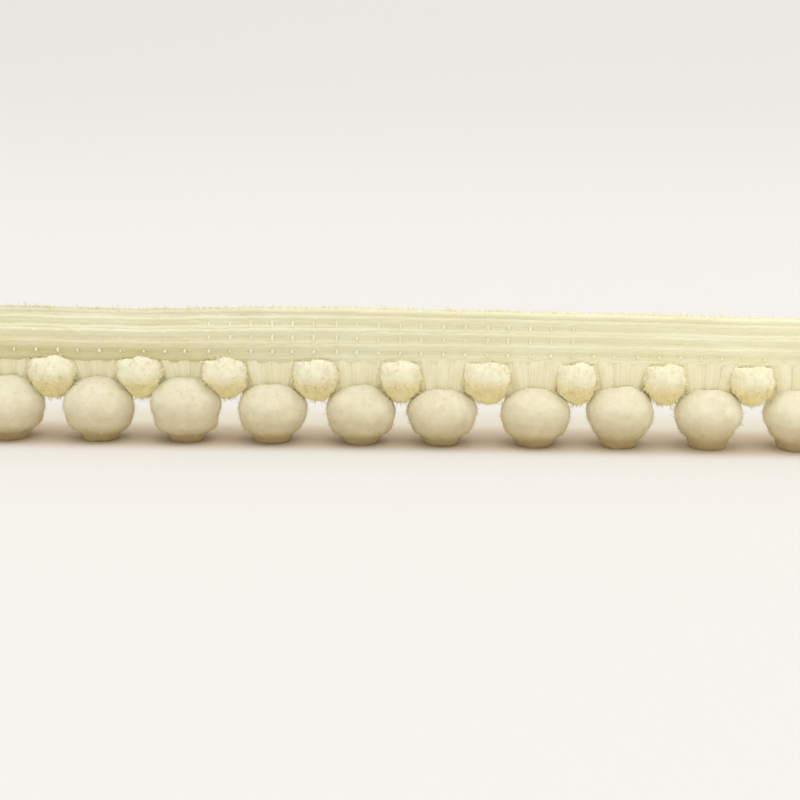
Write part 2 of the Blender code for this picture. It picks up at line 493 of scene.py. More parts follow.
@dataclass(frozen=True)
class YarnFinish:
    """Matte yarn or felt: mottled, a little different from fibre to fibre, finely furred and softly lit, with
    painted shade by height and painted light towards the trim's right end.
    """

    name: str
    deep: Colour
    pale: Colour
    mottle_size: float
    fur_size: float = 0.14 * MM
    fur_height: float = 0.015 * MM
    roughness: float = 0.95
    diffuse_roughness: float = 0.6
    specular: float = 0.15
    sheen: float = 0.12
    sheen_roughness: float = 0.5
    sheen_tint: Colour = (1.0, 0.95, 0.8, 1.0)
    deep_at: float = 0.4
    pale_at: float = 0.8
    mottle_detail: float = 3.0
    fur_detail: float = 4.0
    fur_roughness: float = 0.65
    unevenness: float = 0.2
    stretch: Triple = (1.0, 1.0, 1.0)
    shades: tuple[Shade, ...] = ()
    shade_ends: Span | None = None
    # Painted light: over the right reach along X, the colour grows paler by up to the right end's factor, as
    # the trim is more brightly lit towards its right end.
    right_light_gain: float = 1.0
    right_light_span: Span = (-4.0 * MM, 27.0 * MM)

    def material(self) -> Material:
        """Builds the finish.

        Returns:
            The material, with its pattern on Object coordinates.
        """
        made = Wiring(
            self.name,
            Roughness=self.roughness,
            Diffuse_Roughness=self.diffuse_roughness,
            Specular_IOR_Level=self.specular,
            Sheen_Weight=self.sheen,
            Sheen_Roughness=self.sheen_roughness,
            Sheen_Tint=self.sheen_tint,
        )
        place = made.place()
        drawn = made.add("ShaderNodeMapping", place, Scale=self.stretch).outputs["Vector"]
        mottle = made.add("ShaderNodeTexNoise", drawn, Scale=1 / self.mottle_size, Detail=self.mottle_detail)
        uneven = made.add(
            "ShaderNodeMath", made.island(), self.unevenness, mottle.outputs["Fac"], operation="MULTIPLY_ADD"
        )
        colour = made.ramp(uneven.outputs["Value"], {self.deep_at: self.deep, self.pale_at: self.pale})
        parts = made.add("ShaderNodeSeparateXYZ", place)
        if self.shades:
            colour = self.shaded(made, parts, colour)
        # Painted light: the colour is scaled up towards the trim's right end, where more light falls.
        along = made.remap(parts.outputs["X"], *self.right_light_span, 1.0, self.right_light_gain)
        painted_lit = made.add("ShaderNodeVectorMath", colour, Scale=along, operation="SCALE")
        fur = made.add(
            "ShaderNodeTexNoise",
            drawn,
            Scale=1 / self.fur_size,
            Detail=self.fur_detail,
            Roughness=self.fur_roughness,
        )
        bump = made.add("ShaderNodeBump", Strength=1.0, Distance=self.fur_height, Height=fur.outputs["Fac"])
        made.feed(made.shader, Base_Color=painted_lit.outputs["Vector"], Normal=bump.outputs["Normal"])
        return made.material

    def shaded(self, made: Wiring, parts: Node, colour: Socket) -> Socket:
        """Paints shade into the finish's colour by its height, and fades that shade out along X between the
        shade ends.

        Args:
            made: The material being built.
            parts: The node that splits a place into its axes.
            colour: The finish's even colour.

        Returns:
            The colour with painted shade.
        """
        # Painted shade: the colour is multiplied by the shade tints by height, and faded out along X past the
        # shade ends.
        top = self.shades[-1].height
        share = made.remap(parts.outputs["Z"], 0.0, top)
        tint = made.ramp(share, {shade.height / top: shade.tint for shade in self.shades})
        fade = 1.0
        if self.shade_ends is not None:
            full, gone = self.shade_ends
            fade = made.remap(parts.outputs["X"], gone, full)
        return made.add("ShaderNodeMixRGB", fade, colour, tint, blend_type="MULTIPLY").outputs["Color"]


@dataclass(frozen=True)
class NylonFinish:
    """The fine glossy thread that ties the wales together."""

    name: str
    deep: Colour
    pale: Colour
    roughness: float = 0.35
    ior: float = 1.53
    coat: float = 0.2
    coat_roughness: float = 0.3

    def material(self) -> Material:
        """Builds the finish.

        Returns:
            The material, a little different from one tie to the next.
        """
        made = Wiring(
            self.name,
            Roughness=self.roughness,
            IOR=self.ior,
            Coat_Weight=self.coat,
            Coat_Roughness=self.coat_roughness,
        )
        made.feed(made.shader, made.ramp(made.island(), {0.0: self.deep, 1.0: self.pale}))
        return made.material


class WarmShadow(NamedTuple):
    """A warm painted shadow that the trim throws on the table.

    It gives its colour, its middle and its full reach along X and Y, and how far it fades past that.
    """

    colour: Colour
    middle: Span
    reach: Span
    edge: float


@dataclass(frozen=True)
class TableFinish:
    """A plain pale surface that darkens softly where it rises at the back, with warm painted shadows beside
    the trim.
    """

    name: str
    near: Colour
    far: Colour
    near_edge: float
    far_edge: float
    warm_shadows: tuple[WarmShadow, ...]
    roughness: float = 0.9
    specular: float = 0.1

    def material(self) -> Material:
        """Builds the finish.

        Returns:
            The material, which reads its own place.
        """
        made = Wiring(self.name, Roughness=self.roughness, Specular_IOR_Level=self.specular)
        parts = made.add("ShaderNodeSeparateXYZ", made.place())
        along = made.remap(parts.outputs["Y"], self.near_edge, self.far_edge)
        colour = made.ramp(along, {0.0: self.near, 1.0: self.far})
        # Painted shadow: each one darkens and warms the table near the trim.
        for warm_shadow in self.warm_shadows:
            near = made.add(
                "ShaderNodeMath",
                *(self.nearness(made, parts, warm_shadow, axis) for axis in (0, 1)),
                operation="MULTIPLY",
            )
            warm = made.add("ShaderNodeMixRGB", near.outputs["Value"], colour, warm_shadow.colour)
            colour = warm.outputs["Color"]
        made.feed(made.shader, colour)
        return made.material

    def nearness(self, made: Wiring, parts: Node, warm_shadow: WarmShadow, axis: int) -> Socket:
        """Adds the nodes that say how near a painted shadow's middle a place is along one axis.

        Args:
            made: The material being built.
            parts: The node that splits a place into its axes.
            warm_shadow: The painted shadow.
            axis: The axis's number.

        Returns:
            The share, which is 1 within the shadow's reach and 0 past its edge.
        """
        offset = made.add("ShaderNodeMath", parts.outputs[axis], warm_shadow.middle[axis], operation="SUBTRACT")
        away = made.add("ShaderNodeMath", offset.outputs["Value"], operation="ABSOLUTE")
        reach = warm_shadow.reach[axis]
        return made.remap(away.outputs["Value"], reach + warm_shadow.edge, reach, interpolation_type="SMOOTHSTEP")


# Painted shade: the felt darkens steeply to a brown foot near the table, where shade falls under the ball,
# and is a little dimmer all the way up; painted light makes it paler towards the trim's right end.
FELT = YarnFinish(
    name="felted_yarn",
    deep=(0.85, 0.80, 0.60, 1.0),
    pale=(0.91, 0.88, 0.715, 1.0),
    mottle_size=0.8 * MM,
    shades=(
        Shade(0.0, (0.55, 0.445, 0.26, 1.0)),
        Shade(0.5 * MM, (0.60, 0.50, 0.32, 1.0)),
        Shade(0.9 * MM, (0.71, 0.62, 0.445, 1.0)),
        Shade(1.3 * MM, (0.80, 0.725, 0.58, 1.0)),
        Shade(2.1 * MM, (0.89, 0.84, 0.75, 1.0)),
        Shade(3.2 * MM, (0.97, 0.96, 0.93, 1.0)),
        Shade(4.6 * MM, (0.98, 0.98, 0.98, 1.0)),
    ),
    right_light_gain=1.04,
)
# Painted shade: the tuft's skirt under its cap is darker and yellower than the cap, which is lit from above;
# painted light makes it paler towards the trim's right end.
TUFT_PILE = YarnFinish(
    name="tuft_pile",
    deep=(0.85, 0.80, 0.56, 1.0),
    pale=(0.94, 0.91, 0.73, 1.0),
    mottle_size=0.6 * MM,
    unevenness=0.5,
    shades=(
        Shade(3.0 * MM, (0.97, 0.90, 0.60, 1.0)),
        Shade(3.9 * MM, (0.98, 0.92, 0.68, 1.0)),
        Shade(4.6 * MM, (0.97, 0.92, 0.77, 1.0)),
        Shade(5.0 * MM, (0.985, 0.975, 0.94, 1.0)),
    ),
    right_light_gain=1.05,
)
# Painted shade on the tape's left end, where it bulges forward: its lower wales, which face down, are darker,
# and its top edge a little; the shade fades out along X between the shade ends.
LEFT_TAPE_SHADE = (
    Shade(5.9 * MM, (0.84, 0.80, 0.65, 1.0)),
    Shade(6.6 * MM, (0.89, 0.855, 0.725, 1.0)),
    Shade(7.3 * MM, (0.95, 0.93, 0.86, 1.0)),
    Shade(8.0 * MM, (1.0, 1.0, 1.0, 1.0)),
    Shade(9.0 * MM, (0.99, 0.99, 0.99, 1.0)),
    Shade(9.4 * MM, (0.90, 0.90, 0.88, 1.0)),
)
LEFT_TAPE_SHADE_ENDS = (-17.0 * MM, -4.0 * MM)
# Painted shade on the tape's left end, and painted light towards its right end.
LAID_YARN = YarnFinish(
    name="laid_yarn",
    deep=(0.865, 0.825, 0.58, 1.0),
    pale=(0.915, 0.885, 0.68, 1.0),
    mottle_size=1.0 * MM,
    fur_size=0.16 * MM,
    fur_height=0.012 * MM,
    unevenness=0.06,
    stretch=(0.3, 1.0, 1.0),
    shades=LEFT_TAPE_SHADE,
    shade_ends=LEFT_TAPE_SHADE_ENDS,
    right_light_gain=1.075,
)
# Painted shade on the tape's left end, and painted light towards its right end.
CHAIN_YARN = YarnFinish(
    name="chain_yarn",
    deep=(0.86, 0.82, 0.59, 1.0),
    pale=(0.91, 0.88, 0.69, 1.0),
    mottle_size=0.7 * MM,
    fur_size=0.1 * MM,
    fur_height=0.008 * MM,
    roughness=0.7,
    sheen=0.08,
    shades=LEFT_TAPE_SHADE,
    shade_ends=LEFT_TAPE_SHADE_ENDS,
    right_light_gain=1.075,
)
# Painted light: the neck yarn is paler towards the trim's right end.
NECK_YARN = YarnFinish(
    name="neck_yarn",
    deep=(0.95, 0.90, 0.66, 1.0),
    pale=(0.99, 0.96, 0.77, 1.0),
    mottle_size=0.7 * MM,
    fur_size=0.12 * MM,
    fur_height=0.012 * MM,
    unevenness=0.06,
    stretch=(1.0, 1.0, 0.3),
    right_light_gain=1.03,
)
NYLON = NylonFinish(name="nylon_thread", deep=(0.95, 0.91, 0.66, 1.0), pale=(0.98, 0.95, 0.75, 1.0))
TABLE = TableFinish(
    name="pale_table",
    near=(0.775, 0.75, 0.715, 1.0),
    far=(0.74, 0.72, 0.69, 1.0),
    near_edge=0.1,
    far_edge=0.38,
    # Painted shadows: a broad warm one that reaches behind the trim, and a darker one right under it.
    warm_shadows=(
        WarmShadow(
            colour=(0.74, 0.70, 0.595, 1.0),
            middle=(0.0, 4.2 * MM),
            reach=(37.0 * MM, 2.4 * MM),
            edge=3.8 * MM,
        ),
        WarmShadow(
            colour=(0.64, 0.54, 0.405, 1.0),
            middle=(0.0, 0.9 * MM),
            reach=(37.0 * MM, 1.7 * MM),
            edge=2.7 * MM,
        ),
    ),
)


def dress(piece: Piece, material: Material) -> Piece:
    """Gives a piece its finish and its shading, and lets it ride with the trim.

    Args:
        piece: The finished piece.
        material: Its material.

    Returns:
        The piece.
    """
    piece.data.materials.clear()
    piece.data.materials.append(material)
    pick_only(piece)
    bpy.ops.object.shade_smooth_by_angle(angle=SMOOTH_ANGLE)
    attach(piece, BODY)
    return piece


# Sub-assemblies.


@dataclass
class FibreCoat:
    """Short loose fibres that stand out of a yarn or a felted body and lie about on it.

    Most fibres are short and a few long, as sizes and rarity say, and at the table they shrink to floor_size.
    """

    name: str
    length: float
    radius: float
    density: float
    tilts: Span
    seed: int
    kinds: int = 5
    curl: float = 0.35
    bends: Row = (0.4, 1.0)
    sizes: Span = (0.6, 1.7)
    rarity: float = 3.0
    floor_reach: float = 0.9 * MM
    floor_size: float = 0.05
    shapes: bpy.types.Collection = field(init=False)
    group: bpy.types.NodeTree = field(init=False)

    def __post_init__(self) -> None:
        """Makes the few fibre shapes that the coat is grown from, and the nodes that grow it."""
        self.shapes = bpy.data.collections.new(self.name + "_shapes")
        dice = random.Random(self.seed)
        for kind in range(self.kinds):
            fibre = self.fibre(f"{self.name}_{kind}", dice)
            bpy.context.collection.objects.unlink(fibre)
            self.shapes.objects.link(fibre)
        self.group = self.grower()

    def fibre(self, name: str, dice: random.Random) -> Piece:
        """Models one curled fibre: a three-sided foot, drawn out twice and closed to a point.

        Args:
            name: The fibre's name.
            dice: The source of its unevenness.

        Returns:
            The fibre, rooted at the origin and rising along Z.
        """
        bpy.ops.mesh.primitive_circle_add(vertices=3, radius=self.radius, fill_type="NGON")
        made = named_active(name)
        bpy.ops.object.mode_set(mode="EDIT")
        bpy.ops.mesh.select_all(action="SELECT")
        bend = self.curl * self.length
        for share in self.bends:
            aside = Vector((dice.uniform(-1, 1), dice.uniform(-1, 1), 0)) * bend * share
            move = aside + Vector((0, 0, self.length / len(self.bends)))
            bpy.ops.mesh.extrude_region_move(TRANSFORM_OT_translate={"value": move})
        bpy.ops.mesh.merge(type="CENTER")
        bpy.ops.mesh.select_all(action="SELECT")
        bpy.ops.mesh.normals_make_consistent(inside=False)
        leave_edit()
        return made

    def grower(self) -> bpy.types.NodeTree:
        """Builds the nodes that scatter the fibres over a body and join them to it.

        Returns:
            The node group for a Geometry Nodes modifier.
        """
        group = bpy.data.node_groups.new(self.name, "GeometryNodeTree")
        for way in ("INPUT", "OUTPUT"):
            group.interface.new_socket("Geometry", in_out=way, socket_type="NodeSocketGeometry")
        graph = Graph(group)
        body = graph.add("NodeGroupInput").outputs[0]
        scatter = graph.add("GeometryNodeDistributePointsOnFaces", body, Density=self.density)
        shapes = graph.add(
            "GeometryNodeCollectionInfo", self.shapes, Separate_Children=True, Reset_Children=True
        )
        ends = [(tilt, 0.0, turn) for tilt, turn in zip(self.tilts, (-math.pi, math.pi))]
        lean = graph.add("FunctionNodeRandomValue", *ends, data_type="FLOAT_VECTOR")
        turn = graph.add("FunctionNodeEulerToRotation", lean.outputs[0])
        turned = graph.add(
            "FunctionNodeRotateRotation",
            Rotation=scatter.outputs["Rotation"],
            Rotate_By=turn.outputs[0],
            rotation_space="LOCAL",
        )
        placed = graph.add(
            "GeometryNodeInstanceOnPoints",
            scatter.outputs["Points"],
            Instance=shapes.outputs[0],
            Pick_Instance=True,
            Rotation=turned.outputs[0],
            Scale=self.sizer(graph),
        )
        real = graph.add("GeometryNodeRealizeInstances", placed.outputs[0])
        both = graph.add("GeometryNodeJoinGeometry", real.outputs[0])
        graph.feed(both, body)
        graph.add("NodeGroupOutput", both.outputs[0])
        return group

    def sizer(self, graph: Graph) -> Socket:
        """Adds the nodes that size a fibre.

        Args:
            graph: The node group being built.

        Returns:
            The fibre's size.
        """
        draw = graph.add("FunctionNodeRandomValue", data_type="FLOAT")
        rare = graph.add("ShaderNodeMath", draw.outputs[1], self.rarity, operation="POWER")
        spread = graph.add("ShaderNodeMapRange", rare.outputs[0], 0.0, 1.0, *self.sizes)
        parts = graph.add("ShaderNodeSeparateXYZ", graph.add("GeometryNodeInputPosition").outputs[0])
        clear = graph.add(
            "ShaderNodeMapRange", parts.outputs["Z"], 0.0, self.floor_reach, self.floor_size, 1.0
        )
        return graph.add(
            "ShaderNodeMath", spread.outputs[0], clear.outputs[0], operation="MULTIPLY"
        ).outputs[0]

    def grow(self, piece: Piece, seed: int) -> None:
        """Grows the coat on a piece, as part of its own mesh.

        Args:
            piece: The body that the fibres stand on.
            seed: Changes where the fibres stand from piece to piece.
        """
        for node in self.group.nodes:
            if "Seed" in node.inputs:
                node.inputs["Seed"].default_value = seed
        apply_modifier(piece, "NODES", node_group=self.group)

    def tidy(self) -> None:
        """Removes the fibre shapes, once every coat has been grown."""
        for fibre in list(self.shapes.objects):
            bpy.data.objects.remove(fibre, do_unlink=True)
        bpy.data.collections.remove(self.shapes)


@dataclass
class HeadingTape:
    """The knitted heading: laid-in yarn over a soft ground, chains on its lower wales, and glossy ties.

    The top wale has no chain, because the soft edge yarns cover it. Strays, laid_waves, tie_slant and the
    ties' sinks are in millimetres.
    """

    wale_rises: Row = (0.27 * MM, 1.19 * MM, 2.09 * MM, 2.97 * MM, 3.52 * MM)
    wale_climbs: Row = (0.5, 0.42, 0.42, 0.2, 0.0)
    wale_pitch: float = 0.9 * MM
    chained_wales: int = 4
    tied_grooves: int = 3
    ground_thickness: float = 0.5 * MM
    ground_mesh: tuple[int, int] = (192, 20)
    laid_rows: int = 18
    laid_first: float = 0.10 * MM
    laid_last: float = 3.42 * MM
    laid_radius: float = 0.23 * MM
    laid_swell: Span = (0.93, 1.07)
    laid_steps: int = 4
    laid_waves: Span = (4.0, 9.0)
    laid_wander: float = 0.018 * MM
    laid_pinch: float = 0.025 * MM
    laid_rise_stray: float = 0.012
    laid_out_stray: float = 0.006
    groove_out: float = 0.12 * MM
    rib_height: float = 0.19 * MM
    foot_taper: float = 0.16 * MM
    foot_reach: float = 0.5 * MM
    chain_steps: int = 6
    chain_radius: float = 0.105 * MM
    chain_swell: float = 0.12
    chain_unevenness: float = 0.08
    chain_sway: float = 0.05 * MM
    low_sway_share: float = 2.6
    chain_sag: float = 0.03 * MM
    chain_sag_turns: float = 0.65
    chain_out: float = 0.405 * MM
    chain_taper_share: float = 0.6
    tie_radius: float = 0.072 * MM
    tie_levels: Row = (-1.0, -0.6, 0.0, 0.6, 1.0)
    tie_fullness: Row = (0.7, 1.0, 1.1, 1.0, 0.7)
    tie_lengths: Span = (0.6, 1.15)
    tie_widths: Span = (0.7, 1.15)
    tie_sinks: Span = (-0.01, 0.05)
    tie_stray: float = 0.1
    tie_slant: float = 0.08
    low_tie_rise: float = 0.6 * MM
    tied: Span = (-14.0 * MM, 13.0 * MM)
    untied_sink: float = 0.15
    edge_radius: float = 0.15 * MM
    edge_rise: float = 3.33 * MM
    middle_edge_rise: float = 3.45 * MM
    edge_out: float = 0.2 * MM
    edge_wave: float = 3.1 * MM
    edge_wander: float = 0.03 * MM
    seed: int = 11

    def __post_init__(self) -> None:
        """Reads the tape's ends from its solid, and draws how far each tie stands from its stitch."""
        low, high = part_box("tape")
        self.left = low.x
        self.length = high.x - low.x
        self.dice = random.Random(self.seed)
        self.tie_shifts = [self.stray(self.tie_stray) for _ in range(TAPE_STITCHES)]

    def stray(self, reach: float) -> float:
        """Draws an offset of up to so many millimetres either way."""
        return self.dice.uniform(-reach, reach) * MM

    def between(self, rows: Sequence[Row], x: float) -> list[float]:
        """Reads a table of places along the tape, easing from row to row.

        Args:
            rows: The table, whose first column is the share of the tape's length.
            x: The place along the trim.

        Returns:
            The other columns' values there, in metres.
        """
        place = min(max((x - self.left) / self.length, 0.0), 1.0)
        start, end = rows[0], rows[1]
        for start, end in zip(rows, rows[1:]):
            if place <= end[0]:
                break
        share = eased((place - start[0]) / (end[0] - start[0]))
        return [(low + (high - low) * share) * MM for low, high in zip(start[1:], end[1:])]

    def point(self, x: float, rise: float, out: float) -> Vector:
        """Finds a point on the tape or off its middle.

        Args:
            x: The place along the trim.
            rise: The height above the tape's foot, on a tape of its nominal height.
            out: How far it stands off the tape's middle, along Y.

        Returns:
            The point.
        """
        foot, top, bulge, lean = self.between(HANGS, x)
        share = rise / TAPE_RISE
        middle = lean * share - bulge * math.sin(math.pi * share)
        return Vector((x, middle + out, foot + share * (top - foot)))

    def run(self, steps: int, at: Callable[[int, float], Triple]) -> Strand:
        """Runs a yarn from one end of the tape to the other.

        Args:
            steps: How many steps it takes to a stitch.
            at: Gives the yarn's rise, stand-off and radius, from a step's number and its place along X.

        Returns:
            The yarn.
        """
        points = []
        radii = []
        count = TAPE_STITCHES * steps
        for step in range(count + 1):
            x = self.left + self.length * step / count
            rise, out, radius = at(step, x)
            points.append(self.point(x, rise, out))
            radii.append(radius)
        return Strand(points, radii)

    def wale_rise(self, wale: int, x: float) -> float:
        """Gives a wale's height above the tape's foot at a place, counting from the lowest."""
        (climb,) = self.between(CLIMBS, x)
        return self.wale_rises[wale] + climb * self.wale_climbs[wale]

    def groove_rise(self, groove: int, x: float) -> float:
        """Gives the height of the groove over a wale at a place, counting from the lowest."""
        return (self.wale_rise(groove, x) + self.wale_rise(groove + 1, x)) / 2

    def rib(self, x: float, rise: float) -> float:
        """Gives the rib's share of its full height at a place: 1 on a wale and 0 in a groove."""
        away = min(abs(rise - self.wale_rise(wale, x)) for wale in range(len(self.wale_rises)))
        return 0.5 + 0.5 * math.cos(math.pi * min(away / (self.wale_pitch / 2), 1.0))

    def near_foot(self, rise: float) -> float:
        """Gives how near the tape's foot a height is: 1 at the foot and 0 past the tapered part."""
        return max(0.0, 1 - rise / self.foot_reach)

    def ground(self) -> Piece:
        """Makes the soft ground as one thin closed sheet on the tape's hang.

        Returns:
            The ground.
        """
        columns, rows = self.ground_mesh
        bpy.ops.mesh.primitive_grid_add(x_subdivisions=columns, y_subdivisions=rows, size=1.0)
        sheet = named_active("tape_ground")
        span = self.laid_last - self.laid_first
        for vertex in sheet.data.vertices:
            x = self.left + (vertex.co.x + 0.5) * self.length
            rise = self.laid_first + (vertex.co.y + 0.5) * span
            vertex.co = self.point(x, rise, 0.0)
        apply_modifier(sheet, "SOLIDIFY", thickness=self.ground_thickness, offset=0.0)
        select_points(sheet, lambda at: True)
        bpy.ops.mesh.normals_make_consistent(inside=False)
        leave_edit()
        return sheet

    def laid_row(self, row: int, face: Face) -> Strand:
        """Lays one fine soft yarn along a face of the tape.

        Args:
            row: The yarn's row, counted from the lowest.
            face: The face that it lies on.

        Returns:
            The yarn.
        """
        spacing = (self.laid_last - self.laid_first) / (self.laid_rows - 1)
        even = self.laid_first + row * spacing
        phase = self.dice.uniform(0, 2 * math.pi)
        wave = self.dice.uniform(*self.laid_waves) * MM

        def at(step: int, x: float) -> Triple:
            """Wanders a little, stands out over each wale and swells between the stitches."""
            wander = self.laid_wander * math.sin(2 * math.pi * x / wave + phase)
            rise = even + wander + self.stray(self.laid_rise_stray)
            pinch = 0.5 - 0.5 * math.cos(2 * math.pi * step / self.laid_steps)
            out = self.groove_out + self.rib_height * self.rib(x, rise)
            out -= self.foot_taper * self.near_foot(rise)
            out += self.laid_pinch * pinch + self.stray(self.laid_out_stray)
            return rise, face.value * out, self.laid_radius * self.dice.uniform(*self.laid_swell)

        return self.run(self.laid_steps, at)

    def chain_ply(self, wale: int, face: Face, ply: int) -> Strand:
        """Runs one ply of a wale's chain along a face of the tape.

        Args:
            wale: The wale, counted from the lowest.
            face: The face that it lies on.
            ply: 0 or 1, the two plies that cross at every stitch.

        Returns:
            The ply.
        """
        sway = self.chain_sway * (self.low_sway_share if wale == 0 else 1.0)

        def at(step: int, x: float) -> Triple:
            """Sways across the other ply, and swells where it lies on top."""
            turn = math.pi * (step / self.chain_steps + ply)
            sag = self.chain_sag * math.sin(self.chain_sag_turns * turn + wale)
            rise = self.wale_rise(wale, x) + sway * math.sin(turn) + sag
            out = self.chain_out + 0.5 * self.chain_sway * math.cos(turn)
            out -= self.chain_taper_share * self.foot_taper * self.near_foot(rise)
            swell = 1 + self.chain_swell * math.cos(2 * turn)
            swell += self.dice.uniform(-self.chain_unevenness, self.chain_unevenness)
            return rise, face.value * out, self.chain_radius * swell

        return self.run(self.chain_steps, at)

    def edge_yarn(self, side: int) -> Strand:
        """Runs one soft yarn along the top edge.

        Args:
            side: -1 in front, 0 on the crest and 1 behind.

        Returns:
            The yarn.
        """
        phase = self.dice.uniform(0, 2 * math.pi)
        even = self.edge_rise if side else self.middle_edge_rise

        def at(_: int, x: float) -> Triple:
            """Wanders up and down a little."""
            wander = self.edge_wander * math.sin(2 * math.pi * x / self.edge_wave + phase)
            return even + wander, self.edge_out * side, self.edge_radius

        return self.run(self.laid_steps, at)

    def tie(self, index: int, groove: int, face: Face) -> Strand:
        """Drops one short tie over the groove between two wales.

        Args:
            index: The stitch that it closes.
            groove: The groove, counted from the lowest.
            face: The face that it lies on.

        Returns:
            The tie.
        """
        lowest = groove == 0
        form = LOW_TIE if lowest else HIGH_TIE
        x = self.left + index * STITCH + self.tie_shifts[index]
        slant = self.stray(self.tie_slant)
        middle = self.groove_rise(groove, x)
        if lowest:
            middle = self.low_tie_rise + TAPE_FOOT - self.between(HANGS, x)[0]
        half = form.half * MM * self.dice.uniform(*self.tie_lengths)
        sink = 0.0
        if not lowest:
            sink = self.dice.uniform(*self.tie_sinks)
            sink += 0.0 if self.tied[0] < x < self.tied[1] else self.untied_sink
        points = [
            self.point(x + slant * level / 2, middle - half * level, face.value * (out - sink) * MM)
            for level, out in zip(self.tie_levels, form.outs)
        ]
        thick = self.tie_radius * self.dice.uniform(*self.tie_widths) * form.thickness
        return Strand(points, [thick * share for share in self.tie_fullness])

    def build(self) -> None:
        """Makes the tape, dresses it and puts it in its solid's place."""
        ground = self.ground()
        rows = [self.laid_row(row, face) for row in range(self.laid_rows) for face in Face]
        laid = yarn_bundle("tape_laid_yarn", rows)
        face_fuzz = FibreCoat(
            name="face_fuzz", length=0.32 * MM, radius=0.007 * MM, density=1.3e6, tilts=(0.7, 1.4), seed=21
        )
        face_fuzz.grow(laid, seed=7)
        face_fuzz.tidy()
        selvedge = yarn_bundle("tape_selvedge", [self.edge_yarn(side) for side in (-1, 0, 1)])
        edge_fuzz = FibreCoat(
            name="edge_fuzz", length=0.32 * MM, radius=0.012 * MM, density=60e6, tilts=(0.0, 1.3), seed=22
        )
        edge_fuzz.grow(selvedge, seed=8)
        edge_fuzz.tidy()
        plies = [
            self.chain_ply(wale, face, ply)
            for wale in range(self.chained_wales)
            for face in Face
            for ply in (0, 1)
        ]
        chains = yarn_bundle("tape_chains", plies)
        knots = [
            self.tie(index, groove, face)
            for index in range(1, TAPE_STITCHES)
            for groove in range(self.tied_grooves)
            for face in Face
        ]
        ties = yarn_bundle("tape_ties", knots)
        soft_yarn = LAID_YARN.material()
        for piece in (ground, laid, selvedge):
            dress(piece, soft_yarn)
        dress(chains, CHAIN_YARN.material())
        dress(ties, NYLON.material())
        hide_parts("tape")


